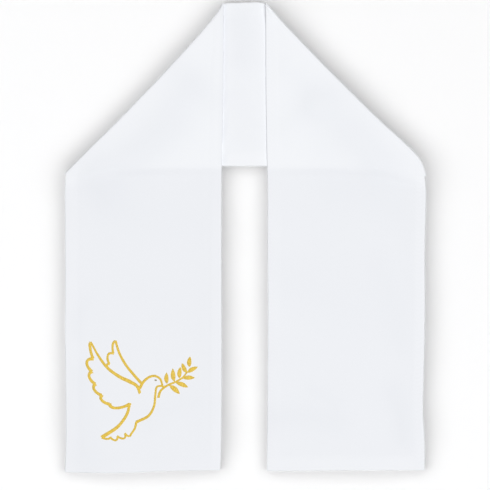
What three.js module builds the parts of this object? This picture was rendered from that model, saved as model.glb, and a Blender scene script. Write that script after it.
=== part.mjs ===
// A white baptism stole, laid flat on a table the way it is worn.
//
// The real stole is one straight band of smooth white cloth, sewn double all round, turned and pressed.
// Its middle lies across the top as the neck band. Each end is folded over the neck band on a slant and
// runs straight down as a front, with a plain hem. One front has an embroidered corner, the other is plain.
// Each stretch that shows is a wall of its own: the neck band underneath, and the two fronts over it, each
// with the rounded fold that carries it round to the neck band.
//
// Millimetres. The origin is on the table, under the middle of the stole. X runs towards the plain front,
// Y from the hems to the neck and Z up.
import * as THREE from "three";

// Driving sizes.
const FRONT_WIDTH = 100;
const FRONTS_APART = 30;
const GAP_CENTRE_X = -0.6;
const NECK_TOP_Y = 150.6;
const NECK_TOP_LEAN = 0.7;
const NECK_DEPTH = 104.8;
const HEM_Y = -149.4;

// The cloth, and how its layers lie on each other.
const CLOTH = 1.2;
const LAYER_GAP = 0.3;
const SEAM_GAP = 0.3;
const EDGE_ROUND = 0.4;
const EDGE_SHARE = 0.45;
const FOLD_RADIUS = 1.1;
const LOFT_REACH = 16;
const STEP_LENGTH = 6;
const STEP_CLEAR = 0.5;

// How finely the walls are divided.
const CELLS_ACROSS = 20;
const CELLS_FRONT = 11;
const CELLS_STEP = 5;
const CELLS_OVER_NECK = 8;
const CELLS_FOLD = 6;
const CELLS_NECK = 12;

// Each front hangs from its fold. Along its length a front's two sides wander a little: inner and outer
// say how far each stands out from straight, at a height up above the hem. The hem drops below its line
// across the width, which runs from the inner side to the outer. The fold's outer line runs from the neck's
// top to its outer corner, and bow says how far it stands out from straight there.
const EMBROIDERED_FRONT = {
  name: "embroidered_front",
  side: -1,
  width: FRONT_WIDTH - 0.5,
  foldTop: { x: -15.0, y: 150.0 },
  foldCorner: { x: -115.9, y: 40.8 },
  sides: [
    { up: 0, inner: -0.8, outer: 0.5 },
    { up: 12, inner: -0.4, outer: -0.3 },
    { up: 26, inner: -0.2, outer: -0.5 },
    { up: 52, inner: 0.0, outer: -0.3 },
    { up: 90, inner: 0.0, outer: 0.3 },
    { up: 116, inner: -0.2, outer: -0.2 },
    { up: 168, inner: -0.2, outer: 0.3 },
    { up: 192, inner: 0.2, outer: 0.7 },
    { up: 300, inner: 0.2, outer: 0.7 },
  ],
  hem: [
    { across: 0.0, drop: -0.4 },
    { across: 0.35, drop: 0.1 },
    { across: 0.65, drop: 1.4 },
    { across: 1.0, drop: 1.0 },
  ],
  fold: [
    { along: 0.0, bow: 0.0 },
    { along: 0.03, bow: -1.5 },
    { along: 0.09, bow: -2.3 },
    { along: 0.2, bow: -2.9 },
    { along: 0.44, bow: -2.8 },
    { along: 0.68, bow: -1.9 },
    { along: 0.85, bow: -0.7 },
    { along: 1.0, bow: 0.0 },
  ],
};
const PLAIN_FRONT = {
  name: "plain_front",
  side: 1,
  width: FRONT_WIDTH + 0.2,
  foldTop: { x: 13.5, y: 150.0 },
  foldCorner: { x: 115.9, y: 39.5 },
  sides: [
    { up: 0, inner: 0.6, outer: -0.1 },
    { up: 13, inner: 0.5, outer: 0.1 },
    { up: 26, inner: 0.4, outer: -0.5 },
    { up: 39, inner: 0.2, outer: -1.2 },
    { up: 64, inner: 0.0, outer: -0.7 },
    { up: 104, inner: -0.3, outer: 0.0 },
    { up: 142, inner: 0.0, outer: -0.1 },
    { up: 180, inner: -0.3, outer: 0.8 },
    { up: 300, inner: 0.6, outer: 1.1 },
  ],
  hem: [
    { across: 0.0, drop: 0.2 },
    { across: 0.5, drop: -0.3 },
    { across: 1.0, drop: -0.3 },
  ],
  fold: [
    { along: 0.0, bow: 0.0 },
    { along: 0.09, bow: -0.3 },
    { along: 0.33, bow: 0.2 },
    { along: 0.57, bow: 1.6 },
    { along: 0.69, bow: 2.6 },
    { along: 0.82, bow: 4.3 },
    { along: 0.91, bow: 4.9 },
    { along: 0.955, bow: 3.4 },
    { along: 1.0, bow: 0.0 },
  ],
};

// The height that a front climbs to lie on the neck band, and how much higher the soft fold stands.
const LAYER_STEP = CLOTH + LAYER_GAP;
const FOLD_LOFT = 2 * FOLD_RADIUS - LAYER_STEP;
const NECK_LOWER_Y = NECK_TOP_Y - NECK_DEPTH;
const FOLD_REACH = FOLD_RADIUS + CLOTH / 2;
const NECK_STRAIGHT_X = 80;
const NECK_CORNER = 8;

const white = new THREE.MeshStandardMaterial({ color: 0xeef0f5, roughness: 0.85, metalness: 0 });

const smooth = (share) => THREE.MathUtils.smoothstep(share, 0, 1);
const evenly = (cells) => Array.from({ length: cells + 1 }, (_, i) => i / cells);

// A smooth reading of one column of a table between its rows.
function reader(rows, place, column) {
  const curve = new THREE.CubicInterpolant(
    rows.map((row) => row[place]),
    rows.map((row) => row[column]),
    1,
  );
  return (at) => curve.evaluate(at)[0];
}

// The steps across a wall, with a narrow one at each rounded edge.
function stepsAcross(width) {
  const edge = EDGE_ROUND / width;
  return [0, edge, ...evenly(CELLS_ACROSS).slice(1, -1), 1 - edge, 1];
}

// A closed wall from a grid of middle points, each with its normal and half its thickness there.
function wallGeometry(grid, flip) {
  const rows = grid.length;
  const columns = grid[0].length;
  const positions = [];
  for (const sign of [1, -1]) {
    for (const row of grid) {
      for (const { middle, normal, half } of row) {
        positions.push(...middle.clone().addScaledVector(normal, sign * half).toArray());
      }
    }
  }
  const top = (i, j) => i * columns + j;
  const under = (i, j) => rows * columns + i * columns + j;
  const faces = [];
  const quad = (a, b, c, d) => faces.push(...(flip ? [a, c, b, a, d, c] : [a, b, c, a, c, d]));
  for (let i = 0; i < rows - 1; i++) {
    for (let j = 0; j < columns - 1; j++) {
      quad(top(i, j), top(i, j + 1), top(i + 1, j + 1), top(i + 1, j));
      quad(under(i, j), under(i + 1, j), under(i + 1, j + 1), under(i, j + 1));
    }
    quad(top(i, 0), top(i + 1, 0), under(i + 1, 0), under(i, 0));
    quad(top(i, columns - 1), under(i, columns - 1), under(i + 1, columns - 1), top(i + 1, columns - 1));
  }
  for (let j = 0; j < columns - 1; j++) {
    quad(top(0, j), under(0, j), under(0, j + 1), top(0, j + 1));
    quad(top(rows - 1, j), top(rows - 1, j + 1), under(rows - 1, j + 1), under(rows - 1, j));
  }
  const geometry = new THREE.BufferGeometry();
  geometry.setAttribute("position", new THREE.Float32BufferAttribute(positions, 3));
  geometry.setIndex(faces);
  geometry.computeVertexNormals();
  return geometry;
}

// Half the wall's thickness: full, but for the thin outermost line of each finished edge.
const halfThickness = (onEdge) => (CLOTH / 2) * (onEdge ? EDGE_SHARE : 1);

// The line that a front's fold is rolled round, seen from above, with its outward direction.
function foldAxis(front) {
  const start = new THREE.Vector2(front.foldTop.x, front.foldTop.y);
  const run = new THREE.Vector2(front.foldCorner.x, front.foldCorner.y).sub(start);
  const square = new THREE.Vector2(-run.y, run.x).normalize().multiplyScalar(front.side);
  const bow = reader(front.fold, "along", "bow");
  const outline = (along) => start.clone().addScaledVector(run, along).addScaledVector(square, bow(along));
  const outward = (along) => {
    const near = 0.02;
    const tangent = outline(Math.min(along + near, 1)).sub(outline(Math.max(along - near, 0)));
    return new THREE.Vector2(-tangent.y, tangent.x).normalize().multiplyScalar(front.side);
  };
  const at = (along) => outline(along).addScaledVector(outward(along), -FOLD_REACH);
  return { at, outward };
}

// The neck band's lower edge, straight in the middle and drawn down to each fold's outer corner.
function neckLowerEdge(x) {
  const front = x < 0 ? EMBROIDERED_FRONT : PLAIN_FRONT;
  const end = foldAxis(front).at(1).addScaledVector(foldAxis(front).outward(1), -SEAM_GAP);
  const share = (Math.abs(x) - NECK_STRAIGHT_X) / (Math.abs(end.x) - NECK_STRAIGHT_X);
  return NECK_LOWER_Y - (NECK_LOWER_Y - end.y) * smooth(share);
}

// One front: flat on the table from its hem, up a short step onto the neck band, and round its fold.
function frontGeometry(front) {
  const axis = foldAxis(front);
  const inner = reader(front.sides, "up", "inner");
  const outer = reader(front.sides, "up", "outer");
  const drop = reader(front.hem, "across", "drop");
  const innerX = GAP_CENTRE_X + (front.side * FRONTS_APART) / 2;

  const straightX = (across, y) => {
    const up = THREE.MathUtils.clamp(y - HEM_Y, 0, 300);
    const from = innerX - front.side * inner(up);
    const to = innerX + front.side * (front.width + outer(up));
    return THREE.MathUtils.lerp(from, to, across);
  };
  const point = (across, y) => {
    const fold = axis.at(across);
    const below = fold.y - y;
    const reach = Math.max(12, 0.6 * (fold.y - NECK_LOWER_Y));
    const shift = fold.x - straightX(across, fold.y);
    const x = straightX(across, y) + shift * smooth(1 - below / reach);
    const climb = smooth((y - stepEnd(across) + STEP_LENGTH) / STEP_LENGTH);
    const loft = smooth(1 - (below * Math.SQRT1_2) / LOFT_REACH);
    return new THREE.Vector3(x, y, CLOTH / 2 + LAYER_STEP * climb + FOLD_LOFT * loft);
  };
  const stepEnd = (across) => neckLowerEdge(straightX(across, NECK_LOWER_Y)) - STEP_CLEAR;

  const columns = stepsAcross(front.width);
  const heights = [];
  const hemEdge = EDGE_ROUND / (NECK_LOWER_Y - HEM_Y);
  for (const share of [0, hemEdge, ...evenly(CELLS_FRONT).slice(1)]) {
    heights.push((across) => {
      const hem = HEM_Y - drop(across);
      return THREE.MathUtils.lerp(hem, stepEnd(across) - STEP_LENGTH, share);
    });
  }
  for (const share of evenly(CELLS_STEP).slice(1)) {
    heights.push((across) => stepEnd(across) - STEP_LENGTH * (1 - share));
  }
  for (const share of evenly(CELLS_OVER_NECK).slice(1, -1)) {
    heights.push((across) => THREE.MathUtils.lerp(stepEnd(across), axis.at(across).y, share));
  }

  const middles = heights.map((height) => columns.map((across) => point(across, height(across))));
  const foldStart = columns.map((across) => point(across, axis.at(across).y));
  const level = [...middles, foldStart];
  const grid = middles.map((row, i) =>
    row.map((middle, j) => {
      const alongColumn = level[i + 1][j].clone().sub(level[Math.max(i - 1, 0)][j]);
      const alongRow = row[Math.min(j + 1, row.length - 1)].clone().sub(row[Math.max(j - 1, 0)]);
      const normal = alongRow.cross(alongColumn).normalize().multiplyScalar(front.side);
      const onEdge = i === 0 || j === 0 || j === row.length - 1;
      return { middle, normal, half: halfThickness(onEdge) };
    }),
  );

  const rollHeight = CLOTH / 2 + FOLD_RADIUS;
  for (const share of evenly(CELLS_FOLD)) {
    const turn = share * Math.PI;
    grid.push(
      columns.map((across, j) => {
        const centre = axis.at(across);
        const out = axis.outward(across);
        const normal = new THREE.Vector3(out.x * Math.sin(turn), out.y * Math.sin(turn), Math.cos(turn));
        const middle = new THREE.Vector3(centre.x, centre.y, rollHeight).addScaledVector(normal, FOLD_RADIUS);
        const onEdge = j === 0 || j === columns.length - 1;
        return { middle, normal, half: halfThickness(onEdge) };
      }),
    );
  }
  return wallGeometry(grid, front.side < 0);
}

// The neck band: a flat wall under both fronts, from one fold to the other.
function neckGeometry() {
  const end = (front) => {
    const axis = foldAxis(front);
    return (down) => axis.at(down).addScaledVector(axis.outward(down), -SEAM_GAP);
  };
  const left = end(EMBROIDERED_FRONT);
  const right = end(PLAIN_FRONT);
  const up = new THREE.Vector3(0, 0, 1);
  const topEdge = (along) => {
    const point = left(0).lerp(right(0), along);
    const straight = NECK_TOP_Y + NECK_TOP_LEAN * (along - 0.5);
    const clear = 1 - Math.abs(2 * along - 1) ** NECK_CORNER;
    point.y = THREE.MathUtils.lerp(point.y, straight, clear);
    return point;
  };
  const lowerEdge = (along) => {
    const point = left(1).lerp(right(1), along);
    point.y = neckLowerEdge(point.x);
    return point;
  };
  const patch = (down, along) => {
    const corners = left(0).lerp(right(0), along).lerp(left(1).lerp(right(1), along), down);
    return left(down)
      .lerp(right(down), along)
      .add(topEdge(along).lerp(lowerEdge(along), down))
      .sub(corners);
  };
  const downs = stepsAcross(NECK_DEPTH);
  const grid = evenly(CELLS_NECK).map((along) =>
    downs.map((down, j) => {
      const plan = patch(down, along);
      const onEdge = j === 0 || j === downs.length - 1;
      return { middle: new THREE.Vector3(plan.x, plan.y, CLOTH / 2), normal: up, half: halfThickness(onEdge) };
    }),
  );
  return wallGeometry(grid, false);
}

function piece(name, geometry) {
  const mesh = new THREE.Mesh(geometry, white);
  mesh.name = name;
  return mesh;
}

const stole = new THREE.Group();
stole.add(piece("neck_band", neckGeometry()));
for (const front of [EMBROIDERED_FRONT, PLAIN_FRONT]) {
  stole.add(piece(front.name, frontGeometry(front)));
}

export default stole;
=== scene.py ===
import math
import random

import bmesh
import bpy
import numpy as np
from mathutils import Matrix, Vector, noise
from mathutils.bvhtree import BVHTree
from mathutils.kdtree import KDTree


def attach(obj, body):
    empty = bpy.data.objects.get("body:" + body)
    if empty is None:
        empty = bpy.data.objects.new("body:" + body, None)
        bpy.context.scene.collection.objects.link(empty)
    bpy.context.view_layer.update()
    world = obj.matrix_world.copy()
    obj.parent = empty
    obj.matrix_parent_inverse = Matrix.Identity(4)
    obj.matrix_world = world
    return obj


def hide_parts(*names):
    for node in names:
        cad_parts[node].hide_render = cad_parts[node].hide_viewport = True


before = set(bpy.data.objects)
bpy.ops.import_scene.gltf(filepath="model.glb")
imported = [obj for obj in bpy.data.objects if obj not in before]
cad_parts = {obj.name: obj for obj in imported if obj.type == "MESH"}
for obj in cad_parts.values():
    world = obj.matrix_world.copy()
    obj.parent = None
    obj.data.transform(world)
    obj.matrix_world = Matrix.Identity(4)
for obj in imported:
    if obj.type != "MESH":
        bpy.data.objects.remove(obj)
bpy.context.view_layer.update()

# The view. The stole lies on a table and is seen from straight above, with the neck at the top.
# Sizes are in millimetres, as a maker gives them, and MM turns them into metres.
MM = 0.001
VIEW_HEIGHT = 1500.0
VIEW_WIDTH = 314.1
VIEW_CENTRE = (-0.3, -4.9)

camera = bpy.data.objects.new("view_from_above", bpy.data.cameras.new("view_from_above"))
bpy.context.scene.collection.objects.link(camera)
camera.location = (VIEW_CENTRE[0] * MM, VIEW_CENTRE[1] * MM, VIEW_HEIGHT * MM)
camera.data.lens = camera.data.sensor_width * VIEW_HEIGHT / VIEW_WIDTH
bpy.context.scene.camera = camera

# The band. The stole is one long band of smooth white cotton, cut twice, sewn right sides together, turned
# and pressed. Its middle lies across as the neck band, and each end is folded over it on a slant and runs
# down as a front.
FRONT_WIDTH = 100.0
FRONTS_APART = 30.0
GAP_CENTRE_X = -0.6
NECK_TOP_Y = 150.8
NECK_TOP_LEAN = 0.7
NECK_DEPTH = 105.0
NECK_LOWER_Y = NECK_TOP_Y - NECK_DEPTH
NECK_STRAIGHT_X = 80.0
NECK_CORNER_POWER = 8
HEM_Y = -149.4
FLAT_LENGTH = 625.0

# Each front's two sides wander a little along its length, its hem drops a little across its width, and its
# fold bows out from straight. The allowances show through some edges more than others.
EMBROIDERED_FRONT = {
    "side": -1,
    "width": FRONT_WIDTH - 0.5,
    "fold_top": (-15.0, 150.0),
    "fold_corner": (-115.9, 40.8),
    "sides": [
        {"up": 0, "inner": -0.8, "outer": 0.5},
        {"up": 12, "inner": -0.35, "outer": -0.15},
        {"up": 26, "inner": -0.1, "outer": -0.3},
        {"up": 52, "inner": 0.1, "outer": -0.15},
        {"up": 90, "inner": 0.1, "outer": 0.35},
        {"up": 116, "inner": 0.0, "outer": 0.1},
        {"up": 168, "inner": 0.0, "outer": 0.4},
        {"up": 192, "inner": 0.2, "outer": 0.7},
        {"up": 216, "inner": 0.7, "outer": 0.7},
        {"up": 256, "inner": 1.3, "outer": 0.7},
        {"up": 300, "inner": 1.4, "outer": 0.7},
    ],
    "hem": [
        {"across": 0.0, "drop": -0.4},
        {"across": 0.35, "drop": 0.1},
        {"across": 0.65, "drop": 1.4},
        {"across": 1.0, "drop": 1.0},
    ],
    "fold": [
        {"along": 0.0, "bow": 0.0},
        {"along": 0.03, "bow": -1.5},
        {"along": 0.09, "bow": -2.15},
        {"along": 0.2, "bow": -2.7},
        {"along": 0.44, "bow": -2.7},
        {"along": 0.68, "bow": -1.9},
        {"along": 0.85, "bow": -0.7},
        {"along": 1.0, "bow": 0.0},
    ],
    "outer_side_shows": 0.7,
    "hem_shows": 0.15,
    "inner_side_curls": 1.0,
    "edge_opens": 0.1,
    "closed_at_fold": True,
    "needlework_on_it": True,
}
PLAIN_FRONT = {
    "side": 1,
    "width": FRONT_WIDTH + 0.2,
    "fold_top": (13.5, 150.0),
    "fold_corner": (115.9, 39.5),
    "sides": [
        {"up": 0, "inner": 0.6, "outer": -0.1},
        {"up": 13, "inner": 0.5, "outer": 0.1},
        {"up": 26, "inner": 0.4, "outer": -0.5},
        {"up": 39, "inner": 0.2, "outer": -1.2},
        {"up": 64, "inner": 0.05, "outer": -0.6},
        {"up": 104, "inner": -0.1, "outer": 0.1},
        {"up": 142, "inner": 0.1, "outer": 0.0},
        {"up": 180, "inner": 0.1, "outer": 0.9},
        {"up": 215, "inner": 0.8, "outer": 0.9},
        {"up": 257, "inner": 1.25, "outer": 1.0},
        {"up": 300, "inner": 1.3, "outer": 1.1},
    ],
    "hem": [
        {"across": 0.0, "drop": 0.2},
        {"across": 0.5, "drop": -0.3},
        {"across": 1.0, "drop": -0.3},
    ],
    "fold": [
        {"along": 0.0, "bow": 0.0},
        {"along": 0.09, "bow": -0.5},
        {"along": 0.33, "bow": 0.0},
        {"along": 0.57, "bow": 1.4},
        {"along": 0.69, "bow": 2.35},
        {"along": 0.82, "bow": 4.0},
        {"along": 0.91, "bow": 4.6},
        {"along": 0.955, "bow": 3.2},
        {"along": 1.0, "bow": 0.0},
    ],
    "outer_side_shows": 1.1,
    "hem_shows": 1.0,
    "inner_side_curls": 0.65,
    "edge_opens": 1.0,
    "closed_at_fold": False,
    "needlework_on_it": False,
}
FRONTS = (EMBROIDERED_FRONT, PLAIN_FRONT)

# Two layers of cloth make the middle of the band. The seam allowances, turned in, make it thicker along the
# long edges and the hems, and each edge is rounded off to its seam.
HALF_CLOTH = 0.42
HALF_MARGIN = 0.55
SEAM_ALLOWANCE = 7.0
HEM_ALLOWANCE = 8.5
ALLOWANCE_FADE = 1.8
EDGE_ROUND = 0.8
HALF_AT_EDGE = 0.4
EDGE_BULGE = 0.16
SEAM_GROOVE = 0.1

# How the layers lie: the rise on to the neck band, the roll of a fold and the length over which it settles.
# FOLD_SLANT turns a length down a front into one square to its slanting fold.
LAYER_RISE = 1.16
STEP_LENGTH = 7.0
STEP_CLEAR = 0.5
FOLD_RADIUS = 0.66
FOLD_LOFT = 2 * FOLD_RADIUS - LAYER_RISE
FOLD_REACH = FOLD_RADIUS + HALF_MARGIN
FOLD_SLANT = math.sqrt(0.5)
LOFT_REACH = 16.0

# Below its fold a front is drawn a little aside, to where the fold has it. That takes up some of its length,
# and very little of it at the inner edge.
DRAWN_LEAST = 12.0
DRAWN_SHARE = 0.6
DRAWN_AT_EDGE = 0.1
DRAWN_FROM_EDGE = 0.12

# Soft creases that pressing and lying leave, each as long and wide as it shows. They lift the cloth off the
# table by a part of a millimetre, and "on" says which layers carry it.
CREASES = [
    {"start": (-36, 92), "end": (-86, 44), "high": 0.7, "wide": 12, "on": "fronts"},
    {"start": (-42, 68), "end": (-66, 52), "high": 0.25, "wide": 8, "on": "fronts"},
    {"start": (48, 84), "end": (84, 48), "high": 0.65, "wide": 12, "on": "fronts"},
    {"start": (26, 108), "end": (46, 84), "high": 0.25, "wide": 7, "on": "fronts"},
    {"start": (-97, 37), "end": (-88, 25), "high": 0.6, "wide": 11, "on": "fronts"},
    {"start": (-70, 12), "end": (-38, 4), "high": 0.15, "wide": 10, "on": "fronts"},
    {"start": (-60, -40), "end": (-28, -52), "high": 0.15, "wide": 12, "on": "fronts"},
    {"start": (-106, -62), "end": (-101, -44), "high": 0.35, "wide": 6, "on": "fronts"},
    {"start": (-101, -138), "end": (-102, -90), "high": 0.55, "wide": 10, "on": "fronts"},
    {"start": (-58, -117), "end": (-30, -108), "high": 0.3, "wide": 8, "on": "fronts"},
    {"start": (18, -117), "end": (60, -120), "high": 0.5, "wide": 7, "on": "fronts"},
    {"start": (98, -101), "end": (104, -128), "high": 0.5, "wide": 7, "on": "fronts"},
    {"start": (45, -98), "end": (60, -108), "high": 0.3, "wide": 4, "on": "fronts"},
    {"start": (53, 56), "end": (72, 62), "high": 0.25, "wide": 11, "on": "fronts"},
    {"start": (88, 48), "end": (101, 43), "high": 0.25, "wide": 9, "on": "fronts"},
    {"start": (60, 30), "end": (98, 18), "high": 0.3, "wide": 10, "on": "fronts"},
    {"start": (30, -30), "end": (80, -48), "high": 0.2, "wide": 13, "on": "fronts"},
    {"start": (88, -20), "end": (101, -66), "high": 0.3, "wide": 8, "on": "fronts"},
    {"start": (-2, 140), "end": (0, 114), "high": 0.55, "wide": 8, "on": "both"},
    {"start": (-3, 88), "end": (2, 66), "high": 0.25, "wide": 8, "on": "both"},
    {"start": (-60, 120), "end": (-20, 88), "high": 0.25, "wide": 7, "on": "both"},
    {"start": (26, 70), "end": (70, 96), "high": 0.25, "wide": 8, "on": "both"},
]
CREASE_BEND = 0.06
# The painted shade along each crease: how much of it counts as full, and how much wider than the crease it
# spreads.
FULL_CREASE_SHADE = 0.8
CREASE_SHADE_WIDER = 1.7
SLACK = 0.16
SLACK_WIDTH = 55.0
SLACK_LAYER = 0.0
PRESSED_FLAT = 0.35
PRESSED_REACH = 13.0


def smooth(share):
    """A soft step from 0 to 1."""
    share = np.clip(share, 0.0, 1.0)
    return share * share * (3.0 - 2.0 * share)


def reader(rows, place, column):
    """A smooth reading of one column of a table between its rows."""
    places = np.array([row[place] for row in rows], float)
    values = np.array([row[column] for row in rows], float)
    slopes = np.empty(len(places))
    slopes[1:-1] = (values[2:] - values[:-2]) / (places[2:] - places[:-2])
    slopes[0] = (values[1] - values[0]) / (places[1] - places[0])
    slopes[-1] = (values[-1] - values[-2]) / (places[-1] - places[-2])

    def read(at):
        at = np.clip(at, places[0], places[-1])
        row = np.clip(np.searchsorted(places, at, side="right") - 1, 0, len(places) - 2)
        span = places[row + 1] - places[row]
        t = (at - places[row]) / span
        eased = values[row] + t * t * (3 - 2 * t) * (values[row + 1] - values[row])
        return eased + span * t * (1 - t) * ((1 - t) * slopes[row] - t * slopes[row + 1])

    return read


def fold_line(front):
    """The line that a front's fold is rolled round, seen from above, with its outward direction."""
    top, corner = np.array(front["fold_top"]), np.array(front["fold_corner"])
    run = corner - top
    square = np.array((-run[1], run[0])) / np.hypot(*run) * front["side"]
    bow = reader(front["fold"], "along", "bow")
    near = 0.02

    def outline(along):
        return top + np.outer(along, run) + np.outer(bow(along), square)

    def outward(along):
        tangent = outline(np.minimum(along + near, 1)) - outline(np.maximum(along - near, 0))
        out = np.stack([-tangent[:, 1], tangent[:, 0]], -1) * front["side"]
        return out / np.linalg.norm(out, axis=1, keepdims=True)

    def axis(along):
        return outline(along) - outward(along) * FOLD_REACH

    return axis, outward


for front in FRONTS:
    front["axis"], front["outward"] = fold_line(front)
    front["inner"] = reader(front["sides"], "up", "inner")
    front["outer"] = reader(front["sides"], "up", "outer")
    front["drop"] = reader(front["hem"], "across", "drop")
    front["fold_end_x"], front["fold_end_y"] = front["axis"](np.array([1.0]))[0]


def neck_lower_edge(x):
    """The neck band's lower edge: straight in the middle, then drawn down to each fold's outer corner."""
    end_x = np.where(x < 0, EMBROIDERED_FRONT["fold_end_x"], PLAIN_FRONT["fold_end_x"])
    end_y = np.where(x < 0, EMBROIDERED_FRONT["fold_end_y"], PLAIN_FRONT["fold_end_y"])
    share = (abs(x) - NECK_STRAIGHT_X) / (abs(end_x) - NECK_STRAIGHT_X)
    return NECK_LOWER_Y - (NECK_LOWER_Y - end_y) * smooth(share)


def straight_x(front, across, y):
    """Where a front's cloth would lie, from its inner side to its outer, if it ran on up without a fold."""
    side = front["side"]
    inner = GAP_CENTRE_X + side * FRONTS_APART / 2
    low = inner - side * front["inner"](y - HEM_Y)
    high = inner + side * (front["width"] + front["outer"](y - HEM_Y))
    return low + (high - low) * across


def step_end(front, across):
    """The place up the table where a front has climbed on to the neck band."""
    return neck_lower_edge(straight_x(front, across, NECK_LOWER_Y)) - STEP_CLEAR


def front_row(front, across, y):
    """The middle of a front's cloth between its hem and its fold."""
    fold_x, fold_y = front["axis"](across).T
    below = fold_y - y
    reach = np.maximum(DRAWN_LEAST, DRAWN_SHARE * (fold_y - NECK_LOWER_Y))
    reach *= DRAWN_AT_EDGE + (1 - DRAWN_AT_EDGE) * smooth(across / DRAWN_FROM_EDGE)
    shift = fold_x - straight_x(front, across, fold_y)
    x = straight_x(front, across, y) + shift * smooth(1 - below / reach)
    climb = smooth((y - step_end(front, across) + STEP_LENGTH) / STEP_LENGTH)
    loft = smooth(1 - below * FOLD_SLANT / LOFT_REACH)
    return np.stack([x, y, HALF_MARGIN + LAYER_RISE * climb + FOLD_LOFT * loft], -1)


def fold_row(front, across, share):
    """The middle of the cloth round a fold: share runs from the front, on top, to the neck band."""
    turn = share * math.pi
    place = front["axis"](across) + front["outward"](across) * (FOLD_RADIUS * math.sin(turn))
    height = np.full(len(across), HALF_MARGIN + FOLD_RADIUS * (1 + math.cos(turn)))
    return np.column_stack([place, height])


def neck_row(across, along):
    """The middle of the neck band's cloth from its top edge down, some way along between the folds."""
    left, right = EMBROIDERED_FRONT["axis"], PLAIN_FRONT["axis"]
    ends = np.array([0.0, 1.0])
    top, low = left(ends) * (1 - along) + right(ends) * along
    straight = NECK_TOP_Y - HALF_MARGIN + NECK_TOP_LEAN * (along - 0.5)
    clear = 1 - abs(2 * along - 1) ** NECK_CORNER_POWER
    top_y = top[1] + (straight - top[1]) * clear
    corners = top[1] + (low[1] - top[1]) * across
    edges = top_y + (neck_lower_edge(low[0]) - top_y) * across
    x, y = (left(across) * (1 - along) + right(across) * along).T
    return np.column_stack([x, y + edges - corners, np.full(len(across), HALF_MARGIN)])


# The cloth's cells are narrow at the rounded edges and close where the needlework draws it in.
EDGE_STEPS = [0.0, 0.15, 0.45, 1.0, 1.9]
INNER_COLUMNS = 96
CLOSE_FROM, CLOSE_TO = 8.0, 92.0
CLOSE_CELL, OPEN_CELL = 1.0, 2.2
STEP_ROWS = 8
OVER_NECK_ROWS = 44
FOLD_ROWS = 10
NECK_ROWS = 60

inner_steps = np.linspace(EDGE_STEPS[-1], FRONT_WIDTH - EDGE_STEPS[-1], INNER_COLUMNS)[1:-1]
column_steps = np.concatenate([EDGE_STEPS, inner_steps, FRONT_WIDTH - np.array(EDGE_STEPS[::-1])])
across = column_steps / FRONT_WIDTH


def front_rows(front):
    """Rows of a front's cloth from its hem to its fold, closer together over needlework, and its fold's."""
    ups = list(EDGE_STEPS)
    while ups[-1] < NECK_LOWER_Y - STEP_LENGTH - HEM_Y:
        close = front["needlework_on_it"] and CLOSE_FROM < ups[-1] < CLOSE_TO
        ups.append(ups[-1] + (CLOSE_CELL if close else OPEN_CELL))
    hem = HEM_Y - front["drop"](across)
    step = step_end(front, across)
    fold = front["axis"](across)[:, 1]
    rows = [front_row(front, across, hem + (step - STEP_LENGTH - hem) * up / ups[-1]) for up in ups]
    for i in range(1, STEP_ROWS + 1):
        rows.append(front_row(front, across, step - STEP_LENGTH * (1 - i / STEP_ROWS)))
    for i in range(1, OVER_NECK_ROWS):
        rows.append(front_row(front, across, step + (fold - step) * i / OVER_NECK_ROWS))
    return rows, [fold_row(front, across, i / FOLD_ROWS) for i in range(FOLD_ROWS + 1)]


# The middle of the cloth runs from the left hem round both folds to the right hem. Its first column is the
# band's inner side and its last one is the outer side.
left_rows, left_fold = front_rows(EMBROIDERED_FRONT)
right_rows, right_fold = front_rows(PLAIN_FRONT)
neck_rows = [neck_row(across, i / NECK_ROWS) for i in range(1, NECK_ROWS)]
middle = np.array(left_rows + left_fold + neck_rows + right_fold[::-1] + right_rows[::-1])
row_count, column_count = middle.shape[:2]
x, y = middle[..., 0], middle[..., 1]

inner_half = slice(0, column_count // 2)
outer_half = slice(column_count // 2, column_count)
EMBROIDERED_FRONT["rows"] = slice(0, len(left_rows))
EMBROIDERED_FRONT["end"] = slice(0, row_count // 2)
EMBROIDERED_FRONT["fold_start"] = left_fold[0]
PLAIN_FRONT["rows"] = slice(row_count - len(right_rows), row_count)
PLAIN_FRONT["end"] = slice(row_count // 2, row_count)
PLAIN_FRONT["fold_start"] = right_fold[0]

on_front = np.zeros((row_count, 1))
for front in FRONTS:
    on_front[front["rows"]] = 1
for i in range(FOLD_ROWS + 1):
    on_top = 0.5 + 0.5 * math.cos(math.pi * i / FOLD_ROWS)
    on_front[len(left_rows) + i] = on_front[-len(right_rows) - 1 - i] = on_top

# Flat places on the cloth: across the band, and along it by the length of each column from the first hem.
lengths = np.linalg.norm(np.diff(middle, axis=0), axis=2)
along_band = np.vstack([np.zeros(column_count), np.cumsum(lengths, axis=0)])
from_edge = np.minimum(column_steps, FRONT_WIDTH - column_steps)[None, :] + np.zeros((row_count, 1))
from_hem = np.minimum(along_band, along_band[-1] - along_band)

# The cloth is thicker over the allowances and thins to the seams.
in_side = 1 - smooth((from_edge - SEAM_ALLOWANCE) / ALLOWANCE_FADE + 0.5)
in_hem = 1 - smooth((from_hem - HEM_ALLOWANCE) / ALLOWANCE_FADE + 0.5)
rim = np.clip(np.minimum(from_edge, from_hem) / EDGE_ROUND, 0, 1)
half = HALF_CLOTH + (HALF_MARGIN - HALF_CLOTH) * np.maximum(in_side, in_hem)
half = HALF_AT_EDGE + (half - HALF_AT_EDGE) * np.sqrt(1 - (1 - rim) ** 2)

# The fronts lie on the neck band as far up as they go past its lower edge.
climbed = np.ones((row_count, column_count))
for front in FRONTS:
    front["past_step"] = y[front["rows"]] - step_end(front, across)[None, :]
    climbed[front["rows"]] = smooth(1 + front["past_step"] / STEP_LENGTH)


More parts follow.
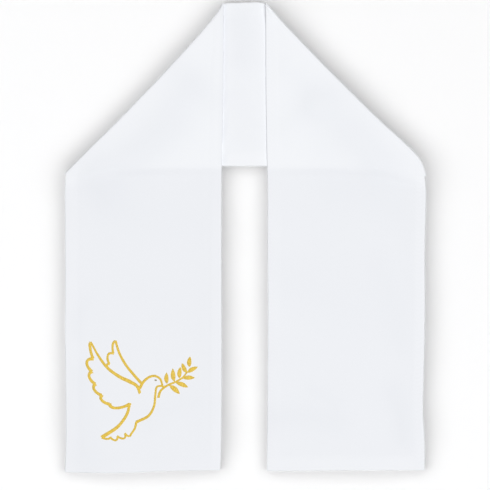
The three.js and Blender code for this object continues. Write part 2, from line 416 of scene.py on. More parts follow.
def away_from(crease):
    """How far each part of the cloth lies from a crease, in its own widths and squared."""
    start, end = np.array(crease["start"], float), np.array(crease["end"], float)
    length = np.hypot(*(end - start))
    run = (end - start) / length
    aside = (y - start[1]) * run[0] - (x - start[0]) * run[1]
    ahead = (x - start[0]) * run[0] + (y - start[1]) * run[1]
    bend = CREASE_BEND * length * np.sin(np.pi * np.clip(ahead / length, 0, 1))
    past = np.maximum(0, np.maximum(-ahead, ahead - length))
    return ((aside - bend) ** 2 + past**2) / crease["wide"] ** 2


def patches(size, layer):
    """Soft uneven patches of the cloth where it lies, the same on each run. Each layer has its own."""
    return np.array([
        [noise.noise(Vector((px, py, layer)) / size) for px, py in zip(xs, ys)]
        for xs, ys in zip(x, y)
    ])


# The creases lift it, and so does a little slack, less along its pressed edges. Each crease also greys the
# cloth along itself, a little wider than its lift: that grey is painted shade.
creases, crease_shade = np.zeros((row_count, column_count)), np.zeros((row_count, column_count))
for crease in CREASES:
    away = away_from(crease)
    carried = crease["high"] * (on_front if crease["on"] == "fronts" else 1)
    creases += carried * np.exp(-away)
    crease_shade += carried * np.exp(-away / CREASE_SHADE_WIDER)
slack = SLACK * (0.5 + 0.5 * patches(SLACK_WIDTH, SLACK_LAYER))
free = smooth(np.minimum(from_edge, from_hem) / PRESSED_REACH)
lift = (slack + creases) * (PRESSED_FLAT + (1 - PRESSED_FLAT) * free)

# Its edges curl up a little off the table, unevenly, less at the hems and least at the corners.
EDGE_CURL = 0.62
HEM_CURL = 0.5
CURL_REACH = 12.0
CURL_UNEVEN = 0.35
CURL_PATCH = 30.0
CURL_LAYER = 90.0
CORNER_CURL = 0.1
CORNER_REACH = 26.0

uneven = CURL_UNEVEN * patches(CURL_PATCH, CURL_LAYER)
at_corner = CORNER_CURL + (1 - CORNER_CURL) * smooth(np.maximum(from_edge, from_hem) / CORNER_REACH)
curl = (EDGE_CURL + uneven) * np.exp(-((from_edge / CURL_REACH) ** 2)) * at_corner
hem_curl = (HEM_CURL + uneven) * np.exp(-((from_hem / CURL_REACH) ** 2)) * at_corner
for front in FRONTS:
    curl[front["rows"], inner_half] *= front["inner_side_curls"]
lift += np.maximum(curl, hem_curl) * (1 - climbed)

# The right front's inner edge stands off the neck band at the top, where the fold's corner opens. Further
# down it lies close, as the left front's does all the way.
OPEN_EDGE = 0.03
OPEN_EDGE_WIDTH = 5.0
OPEN_EDGE_FADE = 20.0
OPEN_CORNER = 2.0
OPEN_CORNER_DOWN = 6.0
OPEN_CORNER_LENGTH = 6.0
CLOSED_LENGTH = 5.0


def from_row(front, row):
    """How far each part of a front lies from one row, down its own column and seen from above."""
    apart = middle[front["rows"]][..., :2] - row[None, :, :2]
    return np.hypot(apart[..., 0], apart[..., 1])


near_edge = np.exp(-((column_steps[None, :] / OPEN_EDGE_WIDTH) ** 2))
for front in FRONTS:
    rows = front["rows"]
    over_neck = smooth((y[rows] - NECK_LOWER_Y) / OPEN_EDGE_FADE + 0.5)
    near_top = np.exp(-(((NECK_TOP_Y - OPEN_CORNER_DOWN - y[rows]) / OPEN_CORNER_LENGTH) ** 2))
    opened = near_edge * over_neck * (OPEN_EDGE + OPEN_CORNER * near_top)
    if front["closed_at_fold"]:
        opened *= smooth(from_row(front, middle[rows][-1]) / CLOSED_LENGTH)
    lift[rows] += front["edge_opens"] * opened
middle[..., 2] += lift

# The shell: two faces of cloth, each half a thickness from the middle, joined round the edge by a rim with
# the seam's fine groove in it.
RIM_CUTS = 3
IN_SEAM = 0.1
TINY = 1e-9

along_way, across_way = np.gradient(middle, axis=0), np.gradient(middle, axis=1)
normals = np.cross(along_way, across_way)
normals /= np.linalg.norm(normals, axis=2, keepdims=True)
outwards = np.zeros_like(middle)
outwards[:, 0] = -across_way[:, 0]
outwards[:, -1] = across_way[:, -1]
outwards[0] -= along_way[0] / np.linalg.norm(along_way[0], axis=1, keepdims=True)
outwards[-1] += along_way[-1] / np.linalg.norm(along_way[-1], axis=1, keepdims=True)
outwards /= np.maximum(np.linalg.norm(outwards, axis=2, keepdims=True), TINY)

shell = bmesh.new()
bmesh.ops.create_grid(shell, x_segments=column_count - 1, y_segments=row_count - 1, size=0.5)
row_key, column_key = shell.verts.layers.int.new("row"), shell.verts.layers.int.new("column")
for vert in shell.verts:
    vert[column_key] = round((vert.co.x + 0.5) * (column_count - 1))
    vert[row_key] = round((vert.co.y + 0.5) * (row_count - 1))
face_side = list(shell.verts)
made = bmesh.ops.duplicate(shell, geom=shell.verts[:] + shell.edges[:] + shell.faces[:])
back_side = [item for item in made["geom"] if isinstance(item, bmesh.types.BMVert)]
back_faces = [item for item in made["geom"] if isinstance(item, bmesh.types.BMFace)]
for verts, way in ((face_side, 1), (back_side, -1)):
    for vert in verts:
        at = vert[row_key], vert[column_key]
        vert.co = middle[at] + normals[at] * (half[at] * way)
shell.normal_update()
sample = face_side[len(face_side) // 2]
points_out = sample.normal.dot(Vector(normals[sample[row_key], sample[column_key]])) > 0
turned = back_faces if points_out else list(set(shell.faces) - set(back_faces))
bmesh.ops.reverse_faces(shell, faces=turned)

rims = [edge for edge in shell.edges if edge.is_boundary]
bridge = bmesh.ops.bridge_loops(shell, edges=rims)
ties = set(bridge["edges"]) - set(rims)
cut = bmesh.ops.subdivide_edges(shell, edges=list(ties), cuts=RIM_CUTS)
for vert in {item for item in cut["geom_inner"] if isinstance(item, bmesh.types.BMVert)}:
    at = vert[row_key], vert[column_key]
    level = (vert.co - Vector(middle[at])).dot(Vector(normals[at])) / half[at]
    bulge = EDGE_BULGE * (1 - level * level) - (SEAM_GROOVE if abs(level) < IN_SEAM else 0)
    vert.co = middle[at] + normals[at] * (half[at] * level) + outwards[at] * bulge

# The cloth lies on the table: nothing of it goes below.
for vert in shell.verts:
    vert.co.z = max(vert.co.z, 0.0)

band = bpy.data.objects.new("stole_band", bpy.data.meshes.new("stole_band"))
bpy.context.scene.collection.objects.link(band)
shell.to_mesh(band.data)
shell.free()
band.data.transform(Matrix.Scale(MM, 4))
for face in band.data.polygons:
    face.use_smooth = True

# What the finish varies with. Another layer lies behind the fronts over the neck band, which shows softly at
# their outer sides. Along the folds the cloth gets a painted highlight, and the allowances show through
# unevenly, in broad soft strips.
BACKING_AT_STEP = 0.72
BACKING_FADE = 3.5
BACKING_FADE_OUTSIDE = 16.0
FADE_WIDENS_FROM, FADE_WIDENS_TO = 0.4, 0.8
NECK_BACKING = 0.7
FOLD_HIGHLIGHT_WIDTH = 5.0
SIDE_SHOWS = 0.45
SIDE_SHOWS_UNEVEN = 1.5
SHOWN_FADE = 5.0

# Painted shade: the left front's inner edge is greyed a little, and so is the neck band close beside it,
# where a soft shade falls.
SEEN_EDGE_FADE = 8.0
EDGE_SHADE_DEPTH = 0.8
EDGE_SHADE_WIDTH = 1.6
BESIDE_PLACE = 0.6
BESIDE_WIDTH = 1.5
BESIDE_SHADE_DEPTH = 0.8

backing = np.full((row_count, column_count), NECK_BACKING)
fold_highlight = np.zeros((row_count, column_count))
side_shows = np.full((row_count, column_count), SIDE_SHOWS)
hem_shows = np.zeros((row_count, 1))
widened = smooth((across - FADE_WIDENS_FROM) / (FADE_WIDENS_TO - FADE_WIDENS_FROM))
fade = BACKING_FADE + (BACKING_FADE_OUTSIDE - BACKING_FADE) * widened
for front in FRONTS:
    backing[front["rows"]] = smooth(BACKING_AT_STEP + front["past_step"] / fade)
    # A painted highlight along each fold, fading down the front.
    below_fold = from_row(front, front["fold_start"]) * FOLD_SLANT
    fold_highlight[front["rows"]] = np.exp(-((below_fold / FOLD_HIGHLIGHT_WIDTH) ** 2))
    side_shows[front["end"], outer_half] = front["outer_side_shows"]
    hem_shows[front["end"]] = front["hem_shows"]
side_strip = 1 - smooth((from_edge - SEAM_ALLOWANCE) / SHOWN_FADE + 0.5)
side_strip *= np.clip(side_shows + SIDE_SHOWS_UNEVEN * uneven, 0, 1)

over_neck = smooth((y - NECK_LOWER_Y) / SEEN_EDGE_FADE + 0.5)
painted_edge_shade = np.exp(-((column_steps[None, :] / EDGE_SHADE_WIDTH) ** 2)) * over_neck * on_front
painted_edge_shade[PLAIN_FRONT["end"]] = 0
beside = x - straight_x(EMBROIDERED_FRONT, 0.0, y) - BESIDE_PLACE
shade_beside_edge = np.exp(-((beside / BESIDE_WIDTH) ** 2)) * over_neck * (1 - on_front)
# The last of these is painted shade: along the creases, and on and beside the left front's inner edge.
varies = {
    "backing": backing - BESIDE_SHADE_DEPTH * shade_beside_edge,
    "margin": np.maximum(side_strip, in_hem * hem_shows),
    "fold_highlight": fold_highlight,
    "painted_shade": np.clip(crease_shade / FULL_CREASE_SHADE, 0, 1) + EDGE_SHADE_DEPTH * painted_edge_shade + shade_beside_edge,
}


def note(mesh, name, values):
    """Keeps a number at each vertex of a mesh, for its finish."""
    layer = mesh.attributes.new(name, "FLOAT", "POINT")
    layer.data.foreach_set("value", np.array(values, np.float32))


count = len(band.data.vertices)
row_of, column_of = np.empty(count, np.int32), np.empty(count, np.int32)
band.data.attributes["row"].data.foreach_get("value", row_of)
band.data.attributes["column"].data.foreach_get("value", column_of)
for name, values in varies.items():
    note(band.data, name, values[row_of, column_of])
corner_verts = np.empty(len(band.data.loops), np.int32)
band.data.loops.foreach_get("vertex_index", corner_verts)
flat = np.stack([column_steps[column_of], along_band[row_of, column_of]], -1)[corner_verts] / FLAT_LENGTH
band.data.uv_layers.new(name="flat_cloth").data.foreach_set("uv", flat.astype(np.float32).ravel())
for name in ("row", "column"):
    band.data.attributes.remove(band.data.attributes[name])


class Shade:
    """One socket of a material's nodes. Plain expressions on it add its Math nodes."""

    def __init__(self, tree, socket=None):
        self.tree, self.socket = tree, socket

    def node(self, kind, output=0, settings=None, inputs=None):
        """Any node, from its type, its settings, and the values or links of its sockets."""
        made = self.tree.nodes.new(kind)
        for name, value in (settings or {}).items():
            setattr(made, name, value)
        for name, value in (inputs or {}).items():
            if isinstance(value, Shade):
                self.tree.links.new(value.socket, made.inputs[name])
            else:
                made.inputs[name].default_value = value
        return Shade(self.tree, made.outputs[output]) if made.outputs else Shade(self.tree)

    def output(self, name):
        """Another output of the same node."""
        return Shade(self.tree, self.socket.node.outputs[name])

    def maths(self, operation, *values):
        """One Math node."""
        return self.node("ShaderNodeMath", 0, {"operation": operation}, dict(enumerate(values)))

    def mix(self, colour, other, share):
        """A colour between two."""
        settings = {"data_type": "RGBA", "blend_type": "MIX"}
        return self.node("ShaderNodeMix", 2, settings, {0: share, 6: colour, 7: other})

    def __add__(self, other):
        return self.maths("ADD", self, other)

    def __radd__(self, other):
        return self.maths("ADD", other, self)

    def __sub__(self, other):
        return self.maths("SUBTRACT", self, other)

    def __rsub__(self, other):
        return self.maths("SUBTRACT", other, self)

    def __mul__(self, other):
        return self.maths("MULTIPLY", self, other)

    def __rmul__(self, other):
        return self.maths("MULTIPLY", other, self)


def finish(name):
    """A new material with an empty set of nodes, and its first handle."""
    material = bpy.data.materials.new(name)
    material.use_nodes = True
    material.node_tree.nodes.clear()
    return material, Shade(material.node_tree)


def attribute(nodes, name):
    """A number that the mesh keeps at each vertex."""
    return nodes.node("ShaderNodeAttribute", "Fac", {"attribute_name": name})


def raised(nodes, height, most, strength=1.0):
    """A relief in the surface, at most this many millimetres high for each 1 of height."""
    inputs = {"Strength": strength, "Distance": most * MM, "Height": height}
    return nodes.node("ShaderNodeBump", 0, None, inputs)


def dress(nodes, base, roughness, normal, constants):
    """The surface itself. What is the same all over it is set on its own sockets."""
    inputs = {"Base Color": base, "Roughness": roughness, "Normal": normal}
    surface = nodes.node("ShaderNodeBsdfPrincipled", 0, None, inputs | constants)
    nodes.node("ShaderNodeOutputMaterial", 0, None, {"Surface": surface})


# The cotton: a fine plain weave, cool white, matt with a slight sheen. It looks brighter where another layer
# lies behind it and over its allowances. A painted highlight brightens it along its folds, and painted shade
# greys it along its creases and beside the left front's inner edge.
THREAD_PITCH = 0.42
SLUB_WIDTH = 1.1
SLUB_LENGTH = 26.0
WEFT_SLUB_WIDTH = 1.2
WEFT_SLUB_LENGTH = 24.0
SLUB_SHARE = 0.6
SLUB_SHINE = 0.05
CLOUD_SIZE = 34.0
WEAVE_HEIGHT = 0.035
WEAVE_SHADE = 0.12
CLOTH_COLOUR = (0.853, 0.868, 0.903, 1)
BACKED_COLOUR = (0.898, 0.913, 0.943, 1)
PAINTED_SHADE_COLOUR = (0.79, 0.81, 0.855, 1)
CLOTH_ROUGHNESS = 0.82
PALE_MARGIN = 0.38
FOLD_HIGHLIGHT = 0.5
PALE_CLOUDS = 0.22
PAINTED_SHADE_SHARE = 0.36


def woven_noise(nodes, place, across_size, along_size, detail):
    """Uneven patches in the flat cloth, with their size across the band and along it."""
    scale = (FLAT_LENGTH / across_size, FLAT_LENGTH / along_size, 1)
    scaled = nodes.node("ShaderNodeMapping", 0, None, {0: place, "Scale": scale})
    return nodes.node("ShaderNodeTexNoise", 0, None, {"Vector": scaled, "Scale": 1.0, "Detail": detail})


white_cloth, nodes = finish("white_cotton")
place = nodes.node("ShaderNodeUVMap", 0, {"uv_map": "flat_cloth"})
parts = nodes.node("ShaderNodeSeparateXYZ", 0, None, {0: place})
turns = FLAT_LENGTH * math.pi / THREAD_PITCH
weave = 0.5 + 0.5 * (nodes.maths("SINE", parts * turns) * nodes.maths("SINE", parts.output("Y") * turns))
slubs = woven_noise(nodes, place, SLUB_WIDTH, SLUB_LENGTH, 2.0)
weft_slubs = woven_noise(nodes, place, WEFT_SLUB_LENGTH, WEFT_SLUB_WIDTH, 2.0)
clouds = woven_noise(nodes, place, CLOUD_SIZE, CLOUD_SIZE, 3.0)
relief = raised(nodes, weave + SLUB_SHARE * slubs + SLUB_SHARE * weft_slubs, WEAVE_HEIGHT)

pale = attribute(nodes, "backing") + attribute(nodes, "margin") * PALE_MARGIN
pale = pale + attribute(nodes, "fold_highlight") * FOLD_HIGHLIGHT + (clouds - 0.5) * PALE_CLOUDS
cloth_colour = nodes.mix(CLOTH_COLOUR, BACKED_COLOUR, nodes.node("ShaderNodeClamp", 0, None, {0: pale}))
# Painted shade: the colour greys along the creases and on and beside the left front's inner edge.
cloth_colour = nodes.mix(cloth_colour, PAINTED_SHADE_COLOUR, attribute(nodes, "painted_shade") * PAINTED_SHADE_SHARE)
# Painted shade in the weave: the colour darkens a little where the threads dip under each other.
shaded = {0: cloth_colour, "Scale": 1 - WEAVE_SHADE / 2 + WEAVE_SHADE * weave}
cloth_colour = nodes.node("ShaderNodeVectorMath", 0, {"operation": "SCALE"}, shaded)
dress(
    nodes, cloth_colour, CLOTH_ROUGHNESS - SLUB_SHINE * slubs, relief,
    {"Sheen Weight": 0.12, "Sheen Roughness": 0.5, "Specular IOR Level": 0.25},
)
band.data.materials.append(white_cloth)

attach(band, "root")
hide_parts("neck_band", "embroidered_front", "plain_front")

# The needlework: a dove flying with a sprig of olive in its beak, worked near the left front's hem in satin
# stitch, in golden yellow silky thread, through the upper layer. Each stitch crosses its line from side to
# side, and sinks into the cloth at both ends. Places are in the motif's own box, from its lower left corner.
MOTIF_CORNER = Vector((-103.0, -131.8))
MOTIF_SIZE = Vector((74.0, 68.0))
OUTLINES = [
    {
        "name": "near wing, leading edge", "wide": (1.0, 1.5, 2.0, 2.55, 1.9),
        "corners": [
            (4.0, 64.6), (8.6, 56.2), (14.2, 48.6), (21.6, 42.9), (29.2, 39.2), (33.6, 36.4), (35.4, 32.0),
        ],
    },
    {
        "name": "far wing, leading edge", "wide": (1.4, 1.6, 1.8),
        "corners": [(19.8, 65.4), (22.2, 57.6), (26.4, 50.0), (31.4, 43.8), (36.0, 38.6)],
    },
    {
        "name": "head", "wide": (2.0, 1.45, 1.2),
        "corners": [(35.2, 35.0), (37.6, 39.2), (41.2, 42.2), (45.0, 43.0), (48.4, 41.0), (49.8, 37.0)],
    },
    {
        "name": "beak and breast", "wide": (1.05, 1.4, 1.9),
        "corners": [
            (51.6, 36.0), (48.4, 36.6), (46.0, 35.6), (45.2, 30.4), (44.4, 23.6), (40.8, 17.4), (33.4, 13.6),
        ],
    },
    {
        "name": "under the tail", "wide": (1.55, 1.3, 1.2),
        "corners": [(33.2, 13.6), (32.0, 9.2), (29.4, 5.4)],
    },
    {
        "name": "over the tail", "wide": (1.75, 2.0, 2.6),
        "corners": [(28.9, 25.4), (26.8, 18.0), (20.8, 10.2), (11.0, 3.8)],
    },
    {
        "name": "sprig, stem", "wide": (1.6, 1.1, 0.9),
        "corners": [(47.2, 29.2), (48.6, 33.4), (52.8, 36.8), (59.0, 39.6), (63.0, 42.2), (65.8, 45.8)],
    },
]

# The feathers' edges: from each notch a rounded feather reaches out and runs on to the next notch.
FEATHERS = [
    {
        "name": "near wing", "reach": (1.2, 5.0, 3.4, 3.2, 2.8, 3.4), "wide": (2.4, 1.75, 1.8, 2.2),
        "notches": [
            (3.9, 64.4), (5.4, 54.0), (4.7, 45.8), (6.9, 37.8), (11.0, 30.6), (16.0, 25.0), (29.0, 25.2),
        ],
    },
    {
        "name": "far wing", "reach": (1.6, 3.8, 1.4), "wide": (1.5, 1.4, 1.4),
        "notches": [(19.6, 65.2), (18.4, 57.4), (15.9, 50.6), (14.4, 48.4)],
    },
    {
        "name": "tail", "reach": (1.8, 3.6, 3.2, 1.4), "wide": (1.3, 1.1, 1.25),
        "notches": [(29.6, 5.6), (25.8, 6.2), (21.0, 4.4), (16.4, 3.8), (11.0, 3.6)],
    },
]
FEATHER_LEAN = 0.35
FEATHER_STARTS = 0.04
FEATHER_TURNS_BACK = 0.78

# The olive leaves, each from its place on the stem, with the way that it points, in degrees, and its length.
LEAVES = [
    {"at": (52.8, 38.2), "way": 93, "long": 6.8, "wide": 3.1},
    {"at": (57.4, 39.6), "way": 97, "long": 8.0, "wide": 3.4},
    {"at": (60.8, 41.6), "way": 86, "long": 7.0, "wide": 3.1},
    {"at": (65.4, 45.2), "way": 118, "long": 6.6, "wide": 3.1},
    {"at": (67.2, 48.9), "way": 88, "long": 6.4, "wide": 3.2},
    {"at": (66.0, 45.2), "way": 30, "long": 7.2, "wide": 3.0},
    {"at": (63.2, 41.4), "way": 4, "long": 7.2, "wide": 3.0},
    {"at": (58.6, 38.6), "way": -20, "long": 8.0, "wide": 3.2},
    {"at": (54.4, 36.8), "way": -39, "long": 8.2, "wide": 3.6},
]
LEAF_ROUND = 0.75
LEAF_TAPER = 0.24
LEAF_TIP = 0.3
LEAF_BOW = 0.35
LEAF_SLANT = 0.18

# The eye: a few short stitches side by side.
EYE = Vector((45.5, 40.3))
EYE_STEPS = (-0.5, -0.25, 0.0, 0.25, 0.5)
EYE_SLOPE = -0.25
EYE_WAY = 1.25
EYE_STITCH = 0.5

# The stitches: how close they lie, how far past their line's width they go in, and how the hand varies them.
STITCH_PITCH = 0.31
STITCH_REACH = 0.2
STITCH_SLANT = 0.3
STITCH_RAGGED = 0.07
STITCH_ASTRAY = 0.03
STITCH_TURNED = 0.07
LINE_CELL = 0.25

needle = random.Random(7)


def curve_through(corners):
    """A smooth line through its corners, as points a cell apart."""
    ends = [2 * corners[0] - corners[1]] + corners + [2 * corners[-1] - corners[-2]]
    line = []
    for before, start, end, after in zip(ends, ends[1:], ends[2:], ends[3:]):
        count = max(2, round((end - start).length / LINE_CELL))
        for i in range(count):
            t = i / count
            bend = 2 * before - 5 * start + 4 * end - after
            turn = 3 * (start - end) + after - before
            line.append(start + ((end - before) * t + bend * t * t + turn * t**3) / 2)
    return line + [corners[-1]]


def feather(start, end, reach, outside):
    """One feather's edge between two notches, fuller at its start."""
    run = end - start
    square = Vector((-run.y, run.x)).normalized() * outside
    first = start + square * reach * (1 + FEATHER_LEAN) + run * FEATHER_STARTS
    second = start + run * FEATHER_TURNS_BACK + square * reach * (1 - FEATHER_LEAN)
    count = max(6, round((run.length + reach) / LINE_CELL))
    line = []
    for i in range(count + 1):
        t = i / count
        u = 1 - t
        line.append(u**3 * start + 3 * u * u * t * first + 3 * u * t * t * second + t**3 * end)
    return line


def stitches_along(line, widths):
    """Satin stitches over a line: each one's middle, the way it lies and half its length."""
    lengths = [0.0]
    for start, end in zip(line, line[1:]):
        lengths.append(lengths[-1] + (end - start).length)
    count = max(2, round(lengths[-1] / STITCH_PITCH))
    found, part = [], 0
    for i in range(count + 1):
        at = lengths[-1] * i / count
        while part < len(line) - 2 and lengths[part + 1] < at:
            part += 1
        share = (at - lengths[part]) / max(lengths[part + 1] - lengths[part], TINY)
        run = (line[min(part + 2, len(line) - 1)] - line[max(part - 1, 0)]).normalized()
        wide = np.interp(i / count, np.linspace(0, 1, len(widths)), widths)
        way = math.atan2(run.x, -run.y) + STITCH_SLANT
        found.append((line[part].lerp(line[part + 1], share), way, wide / 2 + STITCH_REACH))
    return found


def leaf_stitches(leaf):
    """A leaf filled with stitches across it, pointed at both ends."""
    way = math.radians(leaf["way"])
    run = Vector((math.cos(way), math.sin(way)))
    count = round(leaf["long"] / STITCH_PITCH)
    found = []
    for i in range(count + 1):
        t = i / count
        full = math.sin(math.pi * t)
        wide = leaf["wide"] * full**LEAF_ROUND * (1 + LEAF_TAPER / 2 - LEAF_TAPER * t) + LEAF_TIP
        bow = Vector((-run.y, run.x)) * LEAF_BOW * full
        place = Vector(leaf["at"]) + run * (leaf["long"] * t) + bow
        found.append((place, way + math.pi / 2 + LEAF_SLANT, wide / 2))
    return found


stitches = []
for outline in OUTLINES:
    line = curve_through([Vector(corner) for corner in outline["corners"]])
    stitches += stitches_along(line, outline["wide"])
for edge in FEATHERS:
    notches = [Vector(notch) for notch in edge["notches"]]
    for start, end, reach in zip(notches, notches[1:], edge["reach"]):
        outside = 1 if edge["name"] == "tail" else -1
        stitches += stitches_along(feather(start, end, reach, outside), edge["wide"])
for leaf in LEAVES:
    stitches += leaf_stitches(leaf)
for step in EYE_STEPS:
    stitches.append((EYE + Vector((step, EYE_SLOPE * step)), EYE_WAY, EYE_STITCH))

# The stitches draw the cloth in beside them.
PUCKER_DEPTH = 0.13
PUCKER_WIDTH = 1.7
PUCKER_MARGIN = Vector((6.0, 6.0))

tree = KDTree(len(stitches))
for i, (place, way, reach) in enumerate(stitches):
    tree.insert((*(place + MOTIF_CORNER), 0), i)
tree.balance()
low, high = MOTIF_CORNER - PUCKER_MARGIN, MOTIF_CORNER + MOTIF_SIZE + PUCKER_MARGIN
for vert in band.data.vertices:
    at = vert.co / MM
    if low.x < at.x < high.x and low.y < at.y < high.y and at.z > HALF_MARGIN:
        away = tree.find((at.x, at.y, 0))[2]
        vert.co.z -= PUCKER_DEPTH * MM * math.exp(-((away / PUCKER_WIDTH) ** 2))
band.data.update()
surface = BVHTree.FromObject(band, bpy.context.evaluated_depsgraph_get())

# One stitch: a round thread, a little flattened, arched over its line, higher where the line is wider. It
# thins towards its ends, which are turned down into the cloth.
THREAD_RADIUS = 0.185
THREAD_SIDES = 6
THREAD_STEPS = (0.12, 0.28, 0.6, 0.6, 0.28, 0.12)
THREAD_THINS = 0.35
THREAD_FLATTENED = 0.85
STITCH_RISE = 0.2
STITCH_SINK = 0.26
RISE_LEAST = 0.75
RISE_WITH_REACH = 0.35
RISE_FULL_REACH = 1.5
RISE_UNEVEN = 0.1
NEEDLE_HEIGHT = 100.0

thread = bmesh.new()
ring = bmesh.ops.create_circle(thread, segments=THREAD_SIDES, radius=1.0)["verts"]
bmesh.ops.rotate(thread, verts=ring, matrix=Matrix.Rotation(math.pi / 2, 3, "Y"))
bmesh.ops.translate(thread, verts=ring, vec=(-1, 0, 0))
edges = thread.edges[:]
for step in THREAD_STEPS:
    grown = bmesh.ops.extrude_edge_only(thread, edges=edges)["geom"]
    ring = [item for item in grown if isinstance(item, bmesh.types.BMVert)]
    edges = [item for item in grown if isinstance(item, bmesh.types.BMEdge) and item.is_boundary]
    bmesh.ops.translate(thread, verts=ring, vec=(step, 0, 0))
bmesh.ops.holes_fill(thread, edges=[edge for edge in thread.edges if edge.is_boundary])
bmesh.ops.recalc_face_normals(thread, faces=thread.faces)
twist = thread.loops.layers.uv.new("thread")
for face in thread.faces:
    for loop in face.loops:
        loop[twist].uv = (loop.vert.co.x, math.atan2(loop.vert.co.y, loop.vert.co.z) / math.tau + 0.5)
stitch_shape = bpy.data.meshes.new("one_stitch")
thread.to_mesh(stitch_shape)
thread.free()

work = bmesh.new()
tones = []
for place, way, reach in stitches:
    reach += needle.uniform(-STITCH_RAGGED, STITCH_RAGGED)
    astray = needle.uniform(-STITCH_ASTRAY, STITCH_ASTRAY), needle.uniform(-STITCH_ASTRAY, STITCH_ASTRAY)
    at = place + MOTIF_CORNER + Vector(astray)
    found = surface.ray_cast(Vector((at.x, at.y, NEEDLE_HEIGHT)) * MM, Vector((0, 0, -1)))[0]
    rise = STITCH_RISE * (RISE_LEAST + RISE_WITH_REACH * min(reach, RISE_FULL_REACH))
    rise *= needle.uniform(1 - RISE_UNEVEN, 1 + RISE_UNEVEN)
    before = len(work.verts)
    work.from_mesh(stitch_shape)
    work.verts.ensure_lookup_table()
    lying = Matrix.Rotation(way + needle.uniform(-STITCH_TURNED, STITCH_TURNED), 3, "Z")
    for vert in work.verts[before:]:
        share = vert.co.x
        arch = (1 - share**4) * (rise + STITCH_SINK) - STITCH_SINK
        thick = THREAD_RADIUS * (1 - THREAD_THINS * share**6)
        shape = Vector((share * reach, vert.co.y * thick, arch + vert.co.z * thick * THREAD_FLATTENED))
        vert.co = (lying @ shape + Vector((at.x, at.y, found.z / MM))) * MM
    tones += [needle.gauss(0, 1)] * (len(work.verts) - before)

needlework = bpy.data.objects.new("dove_embroidery", bpy.data.meshes.new("dove_embroidery"))
bpy.context.scene.collection.objects.link(needlework)
work.to_mesh(needlework.data)
work.free()
for face in needlework.data.polygons:
    face.use_smooth = True
eye_start = len(tones) - len(EYE_STEPS) * len(stitch_shape.vertices)
note(needlework.data, "tone", tones)
note(needlework.data, "eye", np.arange(len(tones)) >= eye_start)

# The thread is silky rayon, golden yellow. Its strands catch the light differently from stitch to stitch, and
# that
# sheen is painted in its colour: a darker and a lighter gold, mixed by a random tone for each stitch and by
# stripes along each strand's twist.
THREAD_COLOUR = (0.775, 0.525, 0.048, 1)
THREAD_LIGHT = (0.925, 0.695, 0.12, 1)
EYE_COLOUR = (0.33, 0.29, 0.12, 1)
THREAD_ROUGHNESS = 0.42
ROUGHNESS_VARIES = 0.05
MEAN_TONE = 0.45
TONE_VARIES = 0.2
STRAND_SHEEN = 0.12
STRAND_HEIGHT = 0.03
STRAND_STRENGTH = 0.6
STRAND_TWIST = 22.0
STRANDS = 2

gold_thread, nodes = finish("golden_thread")
place = nodes.node("ShaderNodeUVMap", 0, {"uv_map": "thread"})
parts = nodes.node("ShaderNodeSeparateXYZ", 0, None, {0: place})
strand = nodes.maths("SINE", parts * STRAND_TWIST + parts.output("Y") * (STRANDS * math.tau))
tone = MEAN_TONE + TONE_VARIES * attribute(nodes, "tone") + STRAND_SHEEN * strand
thread_colour = nodes.mix(THREAD_COLOUR, THREAD_LIGHT, nodes.node("ShaderNodeClamp", 0, None, {0: tone}))
thread_colour = nodes.mix(thread_colour, EYE_COLOUR, attribute(nodes, "eye"))
dress(
    nodes, thread_colour, THREAD_ROUGHNESS + ROUGHNESS_VARIES * attribute(nodes, "tone"),
    raised(nodes, strand, STRAND_HEIGHT, STRAND_STRENGTH),
    {"Sheen Weight": 0.1, "Specular IOR Level": 0.5},
)
needlework.data.materials.append(gold_thread)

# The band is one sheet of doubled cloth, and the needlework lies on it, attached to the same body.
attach(needlework, "root")

# The table: a plain white matt surface with a faint grain, larger than any view of the stole. It only carries
# the stole, and is no part of it.
TABLE_WIDTH = 12000.0
TABLE_PARTS = 8
TABLE_COLOUR = (0.93, 0.93, 0.934, 1)
TABLE_ROUGHNESS = 0.9
GRAIN_SHINE = 0.05
GRAIN_SCALE = 400.0
GRAIN_HEIGHT = 0.05
GRAIN_STRENGTH = 0.1

top = bmesh.new()
bmesh.ops.create_grid(top, x_segments=TABLE_PARTS, y_segments=TABLE_PARTS, size=TABLE_WIDTH / 2 * MM)
table = bpy.data.objects.new("table", bpy.data.meshes.new("table"))
bpy.context.scene.collection.objects.link(table)
top.to_mesh(table.data)
top.free()
table_white, nodes = finish("table_white")
place = nodes.node("ShaderNodeTexCoord", "Object")
grain = nodes.node("ShaderNodeTexNoise", 0, None, {"Vector": place, "Scale": GRAIN_SCALE})
relief = raised(nodes, grain, GRAIN_HEIGHT, GRAIN_STRENGTH)
dress(nodes, TABLE_COLOUR, TABLE_ROUGHNESS - GRAIN_SHINE * grain, relief, {"Specular IOR Level": 0.0})
table.data.materials.append(table_white)

# The light: an even white surround, a wide soft box over the cloth, and a ring of low soft boxes that graze
# the table, stronger from the hems, so that the cloth's edges throw short soft shadows.
SURROUND = 0.145
OVER_CLOTH = 1.005
LOW_LIGHT = 1.144
LOW_LIGHT_SKEW = 0.5
LOW_LIGHT_FROM = math.radians(-105)
LOW_LIGHT_TOP = 0.06
RING_RADIUS = 4.0
RING_PARTS = 12
RING_SLOPES = [(0.10, 0.15, 0.36), (0.15, 0.25, 0.35), (0.25, 0.55, 0.29)]

# How much steeper the ring's light falls from each side than its slopes say.
STEEPER = 0.88
STEEPER_FROM_RIGHT = 0.18
STEEPER_FROM_TOP = 0.4
STEEPER_FROM_HEMS = 1.0

surround = bpy.data.worlds.new("surround")
bpy.context.scene.world = surround
surround.use_nodes = True
surround.node_tree.nodes["Background"].inputs["Color"].default_value = (1, 1, 1, 1)
surround.node_tree.nodes["Background"].inputs["Strength"].default_value = SURROUND
bpy.context.scene.view_settings.view_transform = "Standard"

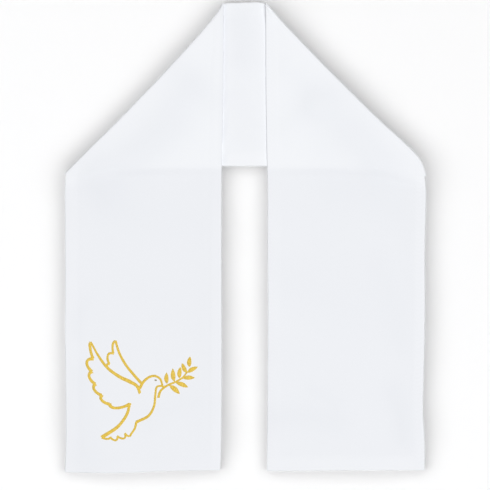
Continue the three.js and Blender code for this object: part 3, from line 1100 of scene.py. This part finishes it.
for_cloth, for_table = bpy.data.collections.new("cloth_light"), bpy.data.collections.new("table_light")
for_cloth.objects.link(band)
for_cloth.objects.link(needlework)
for_table.objects.link(table)


def soft_box(name, place, toward, wide, tall, shine, receivers):
    """A flat rectangular light. shine is its brightness as a surface."""
    lamp = bpy.data.lights.new(name, "AREA")
    lamp.shape = "RECTANGLE"
    lamp.size, lamp.size_y = wide, tall
    lamp.energy = shine * wide * tall * math.pi
    holder = bpy.data.objects.new(name, lamp)
    bpy.context.scene.collection.objects.link(holder)
    holder.location = place
    holder.rotation_euler = (Vector(toward) - Vector(place)).to_track_quat("-Z", "Y").to_euler()
    holder.visible_camera = False
    holder.light_linking.receiver_collection = receivers


for low_slope, high_slope, share in RING_SLOPES:
    for i in range(RING_PARTS):
        way = math.tau * i / RING_PARTS
        from_top, from_right = max(0.0, math.sin(way)), max(0.0, math.cos(way))
        skew = LOW_LIGHT_SKEW * math.cos(way - LOW_LIGHT_FROM)
        weight = LOW_LIGHT * share * (1 + skew + LOW_LIGHT_TOP * from_top**4)
        upright = (STEEPER_FROM_TOP if from_top else STEEPER_FROM_HEMS) * math.sin(way) ** 2
        steeper = STEEPER + STEEPER_FROM_RIGHT * from_right + upright
        low, high = low_slope * steeper, high_slope * steeper
        height = RING_RADIUS * (low + high) / 2
        wide = 2 * RING_RADIUS * math.tan(math.pi / RING_PARTS)
        tall = RING_RADIUS * (high - low)
        place = (RING_RADIUS * math.cos(way), RING_RADIUS * math.sin(way), height)
        shine = weight / (high**2 - low**2)
        soft_box("low_box", place, (0, 0, height), wide, tall, shine, for_table)

# The soft box over the cloth stands a little to the right, so that its creases show faintly.
KEY_PLACE = Vector((0.75, -0.35, 6.0))
KEY_SIZE = 4.2
slant = KEY_PLACE.z / KEY_PLACE.length
shine = OVER_CLOTH * math.pi * KEY_PLACE.length_squared / (KEY_SIZE**2 * slant)
soft_box("over_box", KEY_PLACE, (0, 0, 0), KEY_SIZE, KEY_SIZE, shine, for_cloth)
